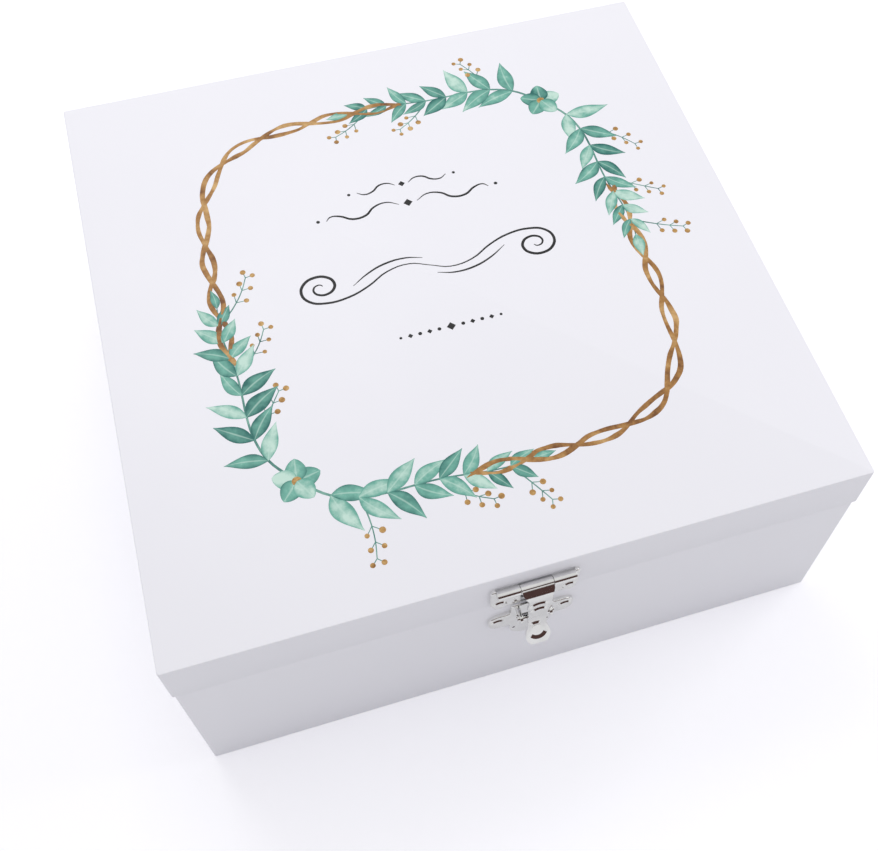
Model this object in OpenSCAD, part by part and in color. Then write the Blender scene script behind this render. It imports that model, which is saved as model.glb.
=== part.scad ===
// Keepsake box: a mitred base tray and a hinged lid, with a hanging clasp at the front.
// Millimetres, +Z up. The origin is the middle of the face that the box stands on.
// The front faces -Y and the hinges are at +Y.

/* [Box] */
// Outer width of the shut box, left to right
box_w = 270; // [180:1:400]
// Outer depth of the shut box, front to back
box_d = 270; // [120:1:400]
// Height of the shut box
box_h = 110; // [80:1:200]
// How far the lid stands out past the base on every side
lid_overhang = 0.7; // [0:0.1:0.9]
// Radius of the four upright corner edges
corner_r = 1; // [0.5:0.1:3]

/* [Base] */
// Thickness of the base walls
wall_t = 9; // [8:0.5:14]
// Thickness of the bottom panel
bottom_t = 4; // [3:0.5:8]
// How far the bottom panel is let into each wall
rebate_w = 4; // [2:0.5:6]

/* [Lid] */
// Height of the lid, from the seam to its top
lid_h = 25; // [22:0.5:40]
// Thickness of the lid's top panel
top_t = 5; // [3:0.5:7]
// Thickness of the rails round the lid
rail_t = 9; // [8:0.5:14]
// Width of the eased edge round the top panel
top_ease = 0.6; // [0.2:0.1:1.5]

/* [Hinges] */
// Length of each hinge along the seam
hinge_w = 30; // [26:1:50]
// Distance from the side of the base to the middle of each hinge
hinge_inset = 53; // [35:1:65]
// Thickness of a hinge leaf
leaf_t = 1; // [0.8:0.1:1.5]
// How far a leaf reaches over the wood
leaf_d = 7; // [6:0.25:7.5]
// Gap between the two leaves of a shut hinge
leaf_gap = 0.2; // [0.1:0.05:0.6]
// Outer radius of the hinge knuckles
barrel_r = 2.2; // [1.8:0.1:3]
// Radius of the hinge pin
hinge_pin_r = 0.9; // [0.6:0.05:1.1]
// Length of the lid's middle knuckle
mid_knuckle_w = 10; // [6:0.5:14]
// Angle at which the heels behind the barrel stop the lid
stop_angle = 102; // [92:1:110]
// How far a heel stands out past the knuckles
heel_reach = 1.6; // [1:0.1:3]
// Thickness of a heel
heel_t = 1.2; // [0.8:0.1:2]

/* [Hinge screws] */
// Radius of a hinge screw's shank
screw_r = 1.1; // [0.8:0.05:1.4]
// Radius of its countersunk head
screw_head_r = 2.1; // [1.7:0.1:2.6]
// Height of its countersunk head
screw_head_h = 0.9; // [0.6:0.05:1]
// Length of the screw under its head
screw_len = 12; // [6:0.5:15]
// Length of its point
screw_point = 2; // [1:0.5:4]
// Distance between the two screws of a leaf
screw_pitch = 18; // [16:0.5:20]
// Width of the slots in the head
slot_w = 0.6; // [0.4:0.05:0.8]
// Depth of the slots in the head
slot_h = 0.4; // [0.2:0.05:0.6]

/* [Clasp plates] */
// Width of both clasp plates
clasp_w = 34.6; // [33:0.1:40]
// Thickness of both clasp plates
plate_t = 1.6; // [1:0.05:1.8]
// Distance from the seam up to the lower edge of the hasp plate
hasp_foot = 0.3; // [0.2:0.1:1]
// How far the hasp plate reaches up past the clasp pin
hasp_head = 1.2; // [0.5:0.1:1.8]
// Height of the clasp pin above the seam
clasp_pin_z = 14.7; // [13:0.1:16]
// Radius of the rounded lower corners of the hasp plate
hasp_lobe_r = 4.5; // [3:0.1:5]
// Radius of its upper corners
hasp_shoulder_r = 1.6; // [0.5:0.1:3]
// Drop from the seam to the top of the catch plate's wings
wing_top = 12.4; // [11:0.1:14]
// Height of the catch plate's wings
wing_h = 11.2; // [10:0.1:12.5]
// Radius of the wings' rounded ends
wing_r = 4.6; // [3:0.1:5]
// Drop from the seam to the top of the catch plate's middle
tab_top = 4.6; // [3.5:0.1:5.5]
// Drop from the seam to the foot of the catch plate's middle
tab_foot = 35.4; // [31:0.1:38]
// Width of the catch plate's middle
tab_w = 17; // [15.5:0.1:18]
// Radius of the middle's round foot
tab_foot_r = 8; // [4:0.1:8]
// Radius of the middle's upper corners
tab_shoulder_r = 1.5; // [0.5:0.1:3]

/* [Clasp nails] */
// Distance between the two nails of a plate
nail_pitch = 27.2; // [25:0.1:28]
// Height of the hasp plate's nails above the seam
hasp_nail_z = 3.4; // [3:0.1:5]
// Drop from the seam to the catch plate's nails
catch_nail_drop = 18; // [17.5:0.1:19]
// Radius of a nail's shank
nail_r = 0.6; // [0.4:0.05:0.8]
// Radius of a nail's domed head
nail_head_r = 1.6; // [1.2:0.05:2]
// Height of a nail's domed head
nail_head_h = 0.8; // [0.5:0.05:1]
// Length of a nail under its head
nail_len = 7.5; // [4:0.1:8]
// Length of a nail's point
nail_point = 1.5; // [0.5:0.1:3]

/* [Clasp tongue] */
// Outer radius of the clasp's knuckles
clasp_barrel_r = 1.9; // [1.6:0.05:2.2]
// Radius of the clasp pin
clasp_pin_r = 0.8; // [0.5:0.05:1]
// Length of the whole clasp barrel
clasp_barrel_w = 30.4; // [26:0.1:32]
// Length of the tongue's own knuckle
tongue_knuckle_w = 12.2; // [10:0.1:14]
// Thickness of the tongue
tongue_t = 1; // [0.7:0.05:1.2]
// Width of the tongue below its shoulders
tongue_w = 9.4; // [8.6:0.1:9.6]
// Width of the tongue at its waist, above the tip
waist_w = 7.4; // [6:0.1:8.4]
// Drop from the pin to where the shoulders start
shoulder_top = 2; // [1:0.1:4]
// Drop to the foot of the shoulders
shoulder_drop = 8; // [6:0.1:12]
// Drop to where the tongue starts to narrow again
narrowing_drop = 16; // [13:0.1:18]
// Drop to the top of the waist
waist_drop = 24; // [20:0.1:27]
// Radius of the tongue's round tip
tip_r = 4.9; // [4.3:0.1:5.5]
// Drop from the pin to the end of the tip
tongue_drop = 36.5; // [34:0.1:38]
// How far the tip stands out past the pin
tongue_reach = 9.2; // [8.6:0.1:11]
// Drop over which the tongue hangs straight before it leans out
tongue_hang = 17; // [15:0.1:18]
// Drop to the point where the tip starts to flare
tongue_flare = 32.5; // [31:0.1:33.5]
// How far that point stands out past the pin
flare_reach = 5.9; // [5.5:0.1:6.6]

/* [Clasp catch] */
// Drop from the seam to the catch bar's centre
catch_drop = 9; // [8.5:0.1:9.5]
// Radius of the catch bar that the tongue lies against
catch_bar_r = 1.4; // [1:0.05:1.6]
// Thickness of the two cheeks that carry the catch bar
cheek_t = 1.3; // [0.8:0.1:1.6]
// Clear width between the two cheeks
cheek_gap = 10.4; // [10.2:0.1:11]
// Radius of a cheek's rounded end
cheek_r = 2.4; // [2:0.1:2.6]

/* [Fits] */
// Clearance round the bottom panel in its rebate
panel_clear = 0.1; // [0.05:0.05:0.3]
// Clearance round a hinge leaf in its mortise
mortise_clear = 0.1; // [0.05:0.05:0.3]
// Radial clearance of each pin in its knuckles
pin_clear = 0.05; // [0.02:0.01:0.08]
// Gap between knuckles along a pin
knuckle_gap = 0.3; // [0.2:0.05:0.6]
// Gap between a barrel and the face behind it
barrel_clear = 0.4; // [0.3:0.05:0.8]
// Radial clearance of screws and nails in their holes
driven_clear = 0.02; // [0.01:0.01:0.05]
// Depth that each drilled hole has past the point it holds
hole_spare = 0.3; // [0.1:0.1:1]
// Gap between the shut tongue and the catch bar
tongue_rest_gap = 0.3; // [0.2:0.05:0.6]

/* [Hidden] */
$fn = 64;
// a hair's breadth, for faces that have to run into each other
eps = 0.01;
// how far a cut runs past the face it opens
past = 1;

// base
base_w = box_w - 2 * lid_overhang;
base_d = box_d - 2 * lid_overhang;
seam_z = box_h - lid_h;
base_front_y = -base_d / 2;
base_back_y = base_d / 2;
lid_front_y = -box_d / 2;
lid_back_y = box_d / 2;

// hinges
hinge_y = lid_back_y + barrel_clear + barrel_r;
hinge_x = base_w / 2 - hinge_inset;
leaf_end_y = base_back_y - leaf_d;
leaf_low = leaf_gap / 2;
mortise_h = leaf_low + leaf_t;
screw_y = base_back_y - leaf_d / 2;
side_knuckle_w = (hinge_w - mid_knuckle_w) / 2 - knuckle_gap;
heel_r = barrel_r + heel_reach;
heel_start = stop_angle / 2;

// clasp, measured outward from the lid's front face
clasp_pin_out = barrel_clear + clasp_barrel_r;
clasp_pin_y = lid_front_y - clasp_pin_out;
clasp_axis_z = seam_z + clasp_pin_z;
side_barrel_w = (clasp_barrel_w - tongue_knuckle_w) / 2 - knuckle_gap;
notch_z = clasp_axis_z - clasp_barrel_r - barrel_clear;
tongue_top_out = clasp_barrel_r - tongue_t / 2;
catch_z = seam_z - catch_drop;
catch_pin_drop = clasp_axis_z - catch_z;
catch_stand_off = catch_bar_r + tongue_rest_gap;
tab_round = min(tab_foot_r, tab_w / 2 - eps);
tongue_steps = 20;
search_steps = 400;

// ---------- shapes that repeat ----------

// Rectangle with round corners, centred
module rounded_rect(w, d, r) {
    square([w - 2 * r, d], center = true);
    square([w, d - 2 * r], center = true);
    for (x = [-1, 1], y = [-1, 1])
        translate([x * (w / 2 - r), y * (d / 2 - r)])
            circle(r);
}

// Plan of one mitred side of a w by d frame, at the front, t thick
module mitred_side(w, d, t) {
    polygon([
        [-w / 2, -d / 2],
        [w / 2, -d / 2],
        [w / 2 - t, -d / 2 + t],
        [-w / 2 + t, -d / 2 + t]
    ]);
}

// One side of a mitred frame with eased upright corners, from z0 up by h.
// turn = 0 front, 1 right, 2 back, 3 left
module frame_side(w, d, t, z0, h, turn) {
    across = turn % 2 == 0 ? w : d;
    along = turn % 2 == 0 ? d : w;
    translate([0, 0, z0])
        linear_extrude(h)
            intersection() {
                rotate(90 * turn)
                    mitred_side(across, along, t);
                rounded_rect(w, d, corner_r);
            }
}

// Room for the bottom panel, cut from the base walls
module bottom_rebate() {
    room = wall_t - rebate_w;
    translate([-base_w / 2 + room, -base_d / 2 + room, -past])
        cube([base_w - 2 * room, base_d - 2 * room, bottom_t + past]);
}

// Cylinder along X, centred
module x_rod(r, w) {
    rotate([0, 90, 0])
        cylinder(r = r, h = w, center = true);
}

// Places its children at the two hinges
module at_hinges() {
    for (side = [-1, 1])
        translate([side * hinge_x, 0, 0])
            children();
}

// Places its children at both screws of one leaf
module at_leaf_screws() {
    for (side = [-1, 1])
        translate([side * screw_pitch / 2, screw_y, 0])
            children();
}

// Places its children at both nails of a clasp plate
module at_nails() {
    for (side = [-1, 1])
        translate([side * nail_pitch / 2, 0, 0])
            children();
}

// ---------- hinge screws ----------

// Pilot hole for a screw whose head lies flush at z = 0, drilled down
module screw_hole() {
    depth = screw_head_h + screw_len + hole_spare;
    translate([0, 0, -depth])
        cylinder(r = screw_r + driven_clear, h = depth + past);
}

// Countersink in a leaf whose face is at z = 0
module countersink() {
    translate([0, 0, -screw_head_h - driven_clear])
        cylinder(r1 = screw_r + driven_clear, r2 = screw_head_r + driven_clear, h = screw_head_h);
    translate([0, 0, -driven_clear - eps])
        cylinder(r = screw_head_r + driven_clear, h = past);
}

// Cross-slotted countersunk screw, head face at z = 0, pointing down
module screw() {
    difference() {
        union() {
            translate([0, 0, -screw_head_h])
                cylinder(r1 = screw_r, r2 = screw_head_r, h = screw_head_h);
            translate([0, 0, -screw_head_h - screw_len + screw_point])
                cylinder(r = screw_r, h = screw_len - screw_point);
            translate([0, 0, -screw_head_h - screw_len])
                cylinder(r1 = 0.1, r2 = screw_r, h = screw_point);
        }
        for (turn = [0, 90])
            rotate(turn)
                translate([-screw_head_r * 0.7, -slot_w / 2, -slot_h])
                    cube([screw_head_r * 1.4, slot_w, past]);
    }
}

// ---------- hinges ----------

// Knuckle along X about the hinge axis, drilled for the pin
module knuckle(w) {
    difference() {
        x_rod(barrel_r, w);
        x_rod(hinge_pin_r + pin_clear, w + 2 * past);
    }
}

// Sector of a heel: a radial block of the given width, its stop face at the angle a
module heel(w, a, thick_side) {
    rotate([a, 0, 0])
        translate([-w / 2, 0, thick_side < 0 ? -heel_t : 0])
            cube([w, heel_r, heel_t]);
}

// Room in which the other leaf's knuckles and web turn
module knuckle_room(w) {
    x_rod(barrel_r + knuckle_gap, w);
}

// One leaf, drawn for the base: flat below the seam, knuckles about the axis at y = 0, z = 0
module leaf_blank(knuckles_at, knuckle_w) {
    reach = hinge_y - leaf_end_y;
    difference() {
        union() {
            // flat part, cut back at the barrel
            difference() {
                translate([-hinge_w / 2, -reach, -leaf_low - leaf_t])
                    cube([hinge_w, reach, leaf_t]);
                knuckle_room(hinge_w + 2 * past);
            }
            // strips that run into the leaf's own knuckles
            for (x = knuckles_at)
                translate([x - knuckle_w / 2, -barrel_r - barrel_clear - lid_overhang, -leaf_low - leaf_t])
                    cube([knuckle_w, barrel_r + barrel_clear + lid_overhang, leaf_t]);
            for (x = knuckles_at)
                translate([x, 0, 0])
                    x_rod(barrel_r, knuckle_w);
        }
        x_rod(hinge_pin_r + pin_clear, hinge_w + 2 * past);
    }
}

// Base leaf at x = 0: two outer knuckles, and a heel under the barrel along its whole length
module base_leaf() {
    knuckle_x = (hinge_w - side_knuckle_w) / 2;
    difference() {
        union() {
            translate([0, hinge_y, seam_z])
                leaf_blank([-knuckle_x, knuckle_x], side_knuckle_w);
            translate([0, hinge_y, seam_z])
                difference() {
                    heel(hinge_w, -heel_start, -1);
                    // the heel clears the lid's own knuckle
                    knuckle_room(mid_knuckle_w + 2 * knuckle_gap);
                    x_rod(barrel_r - eps, hinge_w + 2 * past);
                }
        }
        translate([0, 0, seam_z - leaf_low])
            at_leaf_screws()
                union() {
                    countersink();
                    screw_hole();
                }
    }
}

// Lid leaf at x = 0: the middle knuckle, and a heel over the barrel along its whole length
module lid_leaf() {
    difference() {
        union() {
            translate([0, hinge_y, seam_z])
                mirror([0, 0, 1])
                    leaf_blank([0], mid_knuckle_w);
            translate([0, hinge_y, seam_z])
                difference() {
                    heel(hinge_w, heel_start, 1);
                    for (side = [-1, 1])
                        translate([side * (hinge_w + mid_knuckle_w) / 2, 0, 0])
                            knuckle_room(hinge_w);
                    x_rod(barrel_r - eps, hinge_w + 2 * past);
                }
        }
        translate([0, 0, seam_z + leaf_low])
            mirror([0, 0, 1])
                at_leaf_screws()
                    union() {
                        countersink();
                        screw_hole();
                    }
    }
}

// Pin of one hinge, at x = 0
module hinge_pin() {
    translate([0, hinge_y, seam_z])
        x_rod(hinge_pin_r, hinge_w);
}

// Mortise for one leaf, below z = 0, open at the back
module mortise() {
    far = lid_back_y + past;
    near = leaf_end_y - mortise_clear;
    translate([-hinge_w / 2 - mortise_clear, near, -mortise_h])
        cube([hinge_w + 2 * mortise_clear, far - near, mortise_h + past]);
}

// Mortises and pilot holes of both hinges, as cut from the back wall's top edge
module hinge_cuts() {
    at_hinges() {
        mortise();
        translate([0, 0, -leaf_low])
            at_leaf_screws() {
                screw_hole();
                countersink();
            }
    }
}

// ---------- clasp ----------

// Nail that points at +Y, the underside of its head at y = 0
module nail() {
    cap_r = (pow(nail_head_r, 2) + pow(nail_head_h, 2)) / (2 * nail_head_h);
    rotate([-90, 0, 0]) {
        intersection() {
            translate([0, 0, cap_r - nail_head_h])
                sphere(cap_r);
            translate([0, 0, -nail_head_h])
                cylinder(r = nail_head_r + past, h = nail_head_h);
        }
        cylinder(r = nail_r, h = nail_len - nail_point);
        translate([0, 0, nail_len - nail_point])
            cylinder(r1 = nail_r, r2 = 0.1, h = nail_point);
    }
}

// Hole for a nail, along +Y from y = 0, with room in front for a drill
module nail_hole() {
    rotate([-90, 0, 0])
        translate([0, 0, -past])
            cylinder(r = nail_r + driven_clear, h = nail_len + hole_spare + past);
}

// Outline drawn in X and Z, made thick by t outward from the plane y = y0
module upright_sheet(y0, t) {
    translate([0, y0, 0])
        rotate([90, 0, 0])
            linear_extrude(t)
                children();
}

// Upright plate w wide between two heights, with its own corner radius at each edge
module round_plate(w, low, high, low_r, high_r) {
    translate([-w / 2, low + low_r])
        square([w, high - low - low_r - high_r]);
    translate([low_r - w / 2, low])
        square([w - 2 * low_r, high - low - high_r]);
    translate([high_r - w / 2, low + low_r])
        square([w - 2 * high_r, high - low - low_r]);
    for (side = [-1, 1]) {
        translate([side * (w / 2 - low_r), low + low_r])
            circle(low_r);
        translate([side * (w / 2 - high_r), high - high_r])
            circle(high_r);
    }
}

// Front view of the hasp plate, with room for the tongue's knuckle
module hasp_outline() {
    difference() {
        round_plate(clasp_w, seam_z + hasp_foot, clasp_axis_z + hasp_head, hasp_lobe_r, hasp_shoulder_r);
        translate([-tongue_knuckle_w / 2 - knuckle_gap, notch_z])
            square([tongue_knuckle_w + 2 * knuckle_gap, clasp_axis_z]);
    }
}

// Front view of the catch plate: two wings and a long round-footed middle
module catch_outline() {
    wing_high = seam_z - wing_top;
    round_plate(clasp_w, wing_high - wing_h, wing_high, wing_r, wing_r);
    round_plate(tab_w, seam_z - tab_foot, seam_z - tab_top, tab_round, tab_shoulder_r);
}

// Centre line of the tongue, [out, drop] from the pin, as one smooth curve
function tongue_point(t) =
    pow(1 - t, 3) * [tongue_top_out, 0]
    + 3 * pow(1 - t, 2) * t * [tongue_top_out, tongue_hang]
    + 3 * (1 - t) * pow(t, 2) * [flare_reach, tongue_flare]
    + pow(t, 3) * [tongue_reach, tongue_drop];

// Direction of that curve
function tongue_way(t) =
    let (d = tongue_point(t + eps) - tongue_point(t - eps))
    d / norm(d);

// Point at half a thickness to one side of the curve, as [y, z] from the pin
function tongue_side(t, side) =
    let (p = tongue_point(t), w = tongue_way(t))
    [-(p[0] + side * w[1] * tongue_t / 2), -(p[1] - side * w[0] * tongue_t / 2)];

// Side view of the tongue below its knuckle
module tongue_profile() {
    outer = [for (i = [0:tongue_steps]) tongue_side(i / tongue_steps, 1)];
    inner = [for (i = [tongue_steps:-1:0]) tongue_side(i / tongue_steps, -1)];
    polygon(concat(outer, inner));
}

// Front view of the tongue, the pin at the origin
module tongue_outline() {
    half_top = tongue_knuckle_w / 2;
    half = tongue_w / 2;
    waist = waist_w / 2;
    tip_z = -tongue_drop + tip_r - tongue_t / 2;
    polygon([
        [half_top, past],
        [half_top, -shoulder_top],
        [half, -shoulder_drop],
        [half, -narrowing_drop],
        [waist, -waist_drop],
        [waist, tip_z],
        [-waist, tip_z],
        [-waist, -waist_drop],
        [-half, -narrowing_drop],
        [-half, -shoulder_drop],
        [-half_top, -shoulder_top],
        [-half_top, past]
    ]);
    translate([0, tip_z])
        circle(tip_r);
}

// The catch bar lies behind the shut tongue, tongue_rest_gap clear of its inner face
catch_bar_out = clasp_pin_out + min([
    for (i = [0:search_steps])
        let (p = -tongue_side(i / search_steps, -1), below = p[1] - catch_pin_drop)
        if (abs(below) < catch_stand_off)
            p[0] - sqrt(pow(catch_stand_off, 2) - pow(below, 2))
]);

// ---------- wooden pieces ----------

module bottom_panel() {
    gap = wall_t - rebate_w + panel_clear;
    color("#f1eef0")
        translate([-base_w / 2 + gap, -base_d / 2 + gap, 0])
            cube([base_w - 2 * gap, base_d - 2 * gap, bottom_t]);
}

// One wall of the base; turn counts round from the front
module base_wall(turn) {
    color("#f4f3f7")
        difference() {
            frame_side(base_w, base_d, wall_t, 0, seam_z, turn);
            bottom_rebate();
            children();
        }
}

module front_wall() {
    base_wall(0)
        translate([0, base_front_y, seam_z - catch_nail_drop])
            at_nails()
                nail_hole_behind_plate();
}

module back_wall() {
    base_wall(2)
        translate([0, 0, seam_z])
            hinge_cuts();
}

module left_wall() {
    base_wall(3);
}

module right_wall() {
    base_wall(1);
}

// Nail hole as the wood behind a clasp plate has it
module nail_hole_behind_plate() {
    translate([0, -plate_t, 0])
        nail_hole();
}

module lid_top() {
    color("#f6f5fb")
        difference() {
            translate([0, 0, box_h - top_t])
                linear_extrude(top_t)
                    rounded_rect(box_w, box_d, corner_r);
            for (turn = [0:3])
                rotate(90 * turn)
                    translate([0, turn % 2 == 0 ? lid_front_y : -box_w / 2, box_h - top_ease])
                        rotate([45, 0, 0])
                            translate([-box_w - box_d, -past, 0])
                                cube([2 * (box_w + box_d), top_ease + 2 * past, top_ease + past]);
        }
}

// One rail of the lid; turn counts round from the front
module lid_rail(turn) {
    color("#f4f3f7")
        difference() {
            frame_side(box_w, box_d, rail_t, seam_z, lid_h - top_t, turn);
            children();
        }
}

module lid_front_rail() {
    lid_rail(0)
        translate([0, lid_front_y, seam_z + hasp_nail_z])
            at_nails()
                nail_hole_behind_plate();
}

module lid_back_rail() {
    lid_rail(2)
        translate([0, 0, seam_z])
            mirror([0, 0, 1])
                hinge_cuts();
}

module lid_left_rail() {
    lid_rail(3);
}

module lid_right_rail() {
    lid_rail(1);
}

// ---------- hinge pieces ----------

module left_hinge_base_leaf() {
    color("#c9c9cc")
        translate([-hinge_x, 0, 0])
            base_leaf();
}

module right_hinge_base_leaf() {
    color("#c9c9cc")
        translate([hinge_x, 0, 0])
            base_leaf();
}

module left_hinge_lid_leaf() {
    color("#c9c9cc")
        translate([-hinge_x, 0, 0])
            lid_leaf();
}

module right_hinge_lid_leaf() {
    color("#c9c9cc")
        translate([hinge_x, 0, 0])
            lid_leaf();
}

module left_hinge_pin() {
    color("#b4b4b8")
        translate([-hinge_x, 0, 0])
            hinge_pin();
}

module right_hinge_pin() {
    color("#b4b4b8")
        translate([hinge_x, 0, 0])
            hinge_pin();
}

module base_hinge_screws() {
    color("#b4b4b8")
        translate([0, 0, seam_z - leaf_low])
            at_hinges()
                at_leaf_screws()
                    screw();
}

module lid_hinge_screws() {
    color("#b4b4b8")
        translate([0, 0, seam_z + leaf_low])
            mirror([0, 0, 1])
                at_hinges()
                    at_leaf_screws()
                        screw();
}

// ---------- clasp pieces ----------

module hasp_plate() {
    barrel_x = (clasp_barrel_w - side_barrel_w) / 2;
    color("#d5d3d6")
        difference() {
            union() {
                upright_sheet(lid_front_y, plate_t)
                    hasp_outline();
                for (side = [-1, 1])
                    translate([side * barrel_x, clasp_pin_y, clasp_axis_z])
                        x_rod(clasp_barrel_r, side_barrel_w);
            }
            translate([0, clasp_pin_y, clasp_axis_z])
                x_rod(clasp_pin_r + pin_clear, clasp_w);
            translate([0, lid_front_y - plate_t, seam_z + hasp_nail_z])
                at_nails()
                    nail_hole();
        }
}

module hasp_nails() {
    color("#d5d3d6")
        translate([0, lid_front_y - plate_t, seam_z + hasp_nail_z])
            at_nails()
                nail();
}

module clasp_pin() {
    color("#b4b4b8")
        translate([0, clasp_pin_y, clasp_axis_z])
            x_rod(clasp_pin_r, clasp_barrel_w);
}

module clasp_tongue() {
    wide = tongue_knuckle_w + 2 * past;
    deep = tongue_reach + clasp_barrel_r + 2 * past;
    color("#d9d7da")
        translate([0, clasp_pin_y, clasp_axis_z])
            difference() {
                union() {
                    x_rod(clasp_barrel_r, tongue_knuckle_w);
                    intersection() {
                        rotate([90, 0, 90])
                            linear_extrude(wide, center = true)
                                tongue_profile();
                        rotate([90, 0, 0])
                            linear_extrude(2 * deep, center = true)
                                tongue_outline();
                    }
                }
                x_rod(clasp_pin_r + pin_clear, wide);
            }
}

module catch_plate() {
    cheek_x = (cheek_gap + cheek_t) / 2;
    bar_y = lid_front_y - catch_bar_out;
    plate_y = base_front_y - plate_t;
    color("#d5d3d6")
        difference() {
            union() {
                upright_sheet(base_front_y, plate_t)
                    catch_outline();
                for (side = [-1, 1])
                    translate([side * cheek_x, 0, 0]) {
                        translate([0, bar_y, catch_z])
                            x_rod(cheek_r, cheek_t);
                        // web from the round end back to the plate
                        translate([-cheek_t / 2, bar_y, catch_z - cheek_r])
                            cube([cheek_t, plate_y + eps - bar_y, 2 * cheek_r]);
                    }
                translate([0, bar_y, catch_z])
                    x_rod(catch_bar_r, cheek_gap + cheek_t);
            }
            translate([0, plate_y, seam_z - catch_nail_drop])
                at_nails()
                    nail_hole();
        }
}

module catch_nails() {
    color("#d5d3d6")
        translate([0, base_front_y - plate_t, seam_z - catch_nail_drop])
            at_nails()
                nail();
}

// ---------- the nodes ----------

bottom_panel();
front_wall();
back_wall();
left_wall();
right_wall();
lid_top();
lid_front_rail();
lid_back_rail();
lid_left_rail();
lid_right_rail();
left_hinge_base_leaf();
right_hinge_base_leaf();
left_hinge_lid_leaf();
right_hinge_lid_leaf();
left_hinge_pin();
right_hinge_pin();
base_hinge_screws();
lid_hinge_screws();
hasp_plate();
hasp_nails();
clasp_pin();
clasp_tongue();
catch_plate();
catch_nails();
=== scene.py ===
"""Keepsake box: a painted wooden tray and lid with a plated clasp and two hinges."""
import math
import random
import bmesh
import bpy
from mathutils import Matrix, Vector


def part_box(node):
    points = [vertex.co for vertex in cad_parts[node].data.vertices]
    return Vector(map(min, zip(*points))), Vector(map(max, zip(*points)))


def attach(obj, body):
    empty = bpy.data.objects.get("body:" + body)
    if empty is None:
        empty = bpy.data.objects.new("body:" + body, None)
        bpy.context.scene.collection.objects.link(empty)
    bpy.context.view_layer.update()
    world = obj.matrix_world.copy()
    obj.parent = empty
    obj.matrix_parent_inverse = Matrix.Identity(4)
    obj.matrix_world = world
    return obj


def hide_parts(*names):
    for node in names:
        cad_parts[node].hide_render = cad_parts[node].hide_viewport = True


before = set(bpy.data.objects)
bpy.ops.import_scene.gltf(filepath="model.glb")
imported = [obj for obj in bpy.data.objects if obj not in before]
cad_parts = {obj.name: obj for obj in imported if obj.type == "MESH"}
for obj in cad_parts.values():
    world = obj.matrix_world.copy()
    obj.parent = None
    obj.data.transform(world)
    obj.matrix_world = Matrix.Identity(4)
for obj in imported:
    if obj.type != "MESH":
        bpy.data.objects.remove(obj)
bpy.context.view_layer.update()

mm = 0.001

# the box, as in the part's source
LID_SIDE = 270 * mm
TRAY_SIDE = 268.6 * mm
SEAM = 85 * mm
RAIL_TOP = 105 * mm
PAINT_TOP = 109.94 * mm
BOARD = 9 * mm
CORNER = 1 * mm
SEAM_EASE = 0.4 * mm
PANEL_ROOM = 258.6 * mm
PANEL_SIDE = 258.4 * mm
PANEL = 4 * mm

# hinges
HINGE_X = 81.3 * mm
MORTISE_W = 30.2 * mm
MORTISE_IN = 7.1 * mm
MORTISE_H = 1.1 * mm
SMALL_EASE = 0.05 * mm

# clasp
PIN_Y = -137.3 * mm
PIN_Z = 99.7 * mm
KNUCKLE_R = 1.9 * mm
BORE_R = 0.85 * mm
PLATE_T = 1.6 * mm
CLASP_W = 34.6 * mm
NAIL_X = 13.6 * mm
RING_PROUD = 0.5 * mm
RING_SLOPE = 0.6 * mm
BAR_R = 1.4 * mm
BAR_W = 14.4 * mm
EAR_REACH = 2.4 * mm

# print on the lid
RIM_X = 88 * mm
RIM_Y = 95 * mm
PRINT_Y = 3 * mm
INK_MID = 109.945 * mm
INK_FLAT = 0.03
INK_BODY = 0.05 * mm


# ---------- ways of working ----------

def start_clean():
    """Leaves edit mode and deselects everything."""
    if bpy.context.object and bpy.context.object.mode != "OBJECT":
        bpy.ops.object.mode_set(mode="OBJECT")
    bpy.ops.object.select_all(action="DESELECT")


def work_on(piece):
    """Makes the piece the only one selected, and the active one."""
    start_clean()
    piece.select_set(True)
    bpy.context.view_layer.objects.active = piece


def settle(piece):
    """Puts the piece's object at the origin, unturned and unscaled, with its place in its mesh."""
    work_on(piece)
    bpy.ops.object.transform_apply(location=True, rotation=True, scale=True)


def edit(piece):
    """Opens the piece in edit mode with nothing selected."""
    work_on(piece)
    bpy.ops.object.mode_set(mode="EDIT")
    bpy.ops.mesh.select_all(action="DESELECT")


def pick_faces(piece, wanted):
    """In edit mode, selects the faces whose centre and normal pass the test."""
    bpy.ops.mesh.select_mode(type="FACE")
    bpy.ops.mesh.select_all(action="DESELECT")
    sheet = bmesh.from_edit_mesh(piece.data)
    for face in sheet.faces:
        if wanted(face.calc_center_median(), face.normal):
            face.select_set(True)
    bmesh.update_edit_mesh(piece.data)


def pick_edges(piece, wanted):
    """In edit mode, selects the edges whose two ends pass the test."""
    bpy.ops.mesh.select_mode(type="EDGE")
    bpy.ops.mesh.select_all(action="DESELECT")
    sheet = bmesh.from_edit_mesh(piece.data)
    for edge in sheet.edges:
        if wanted(edge.verts[0].co, edge.verts[1].co):
            edge.select_set(True)
    bmesh.update_edit_mesh(piece.data)


def round_off(radius, steps):
    """Rounds the selected edges."""
    bpy.ops.mesh.bevel(offset=radius, segments=steps, profile=0.5, affect="EDGES")


def near(a, b):
    """True where two lengths are the same to a hundredth of a millimetre."""
    return abs(a - b) < 0.01 * mm


def block(name, low, high):
    """A block between two corners."""
    start_clean()
    centre = [(a + b) / 2 for a, b in zip(low, high)]
    size = [b - a for a, b in zip(low, high)]
    bpy.ops.mesh.primitive_cube_add(size=1, location=centre, scale=size)
    piece = bpy.context.object
    piece.name = name
    settle(piece)
    return piece


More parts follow.
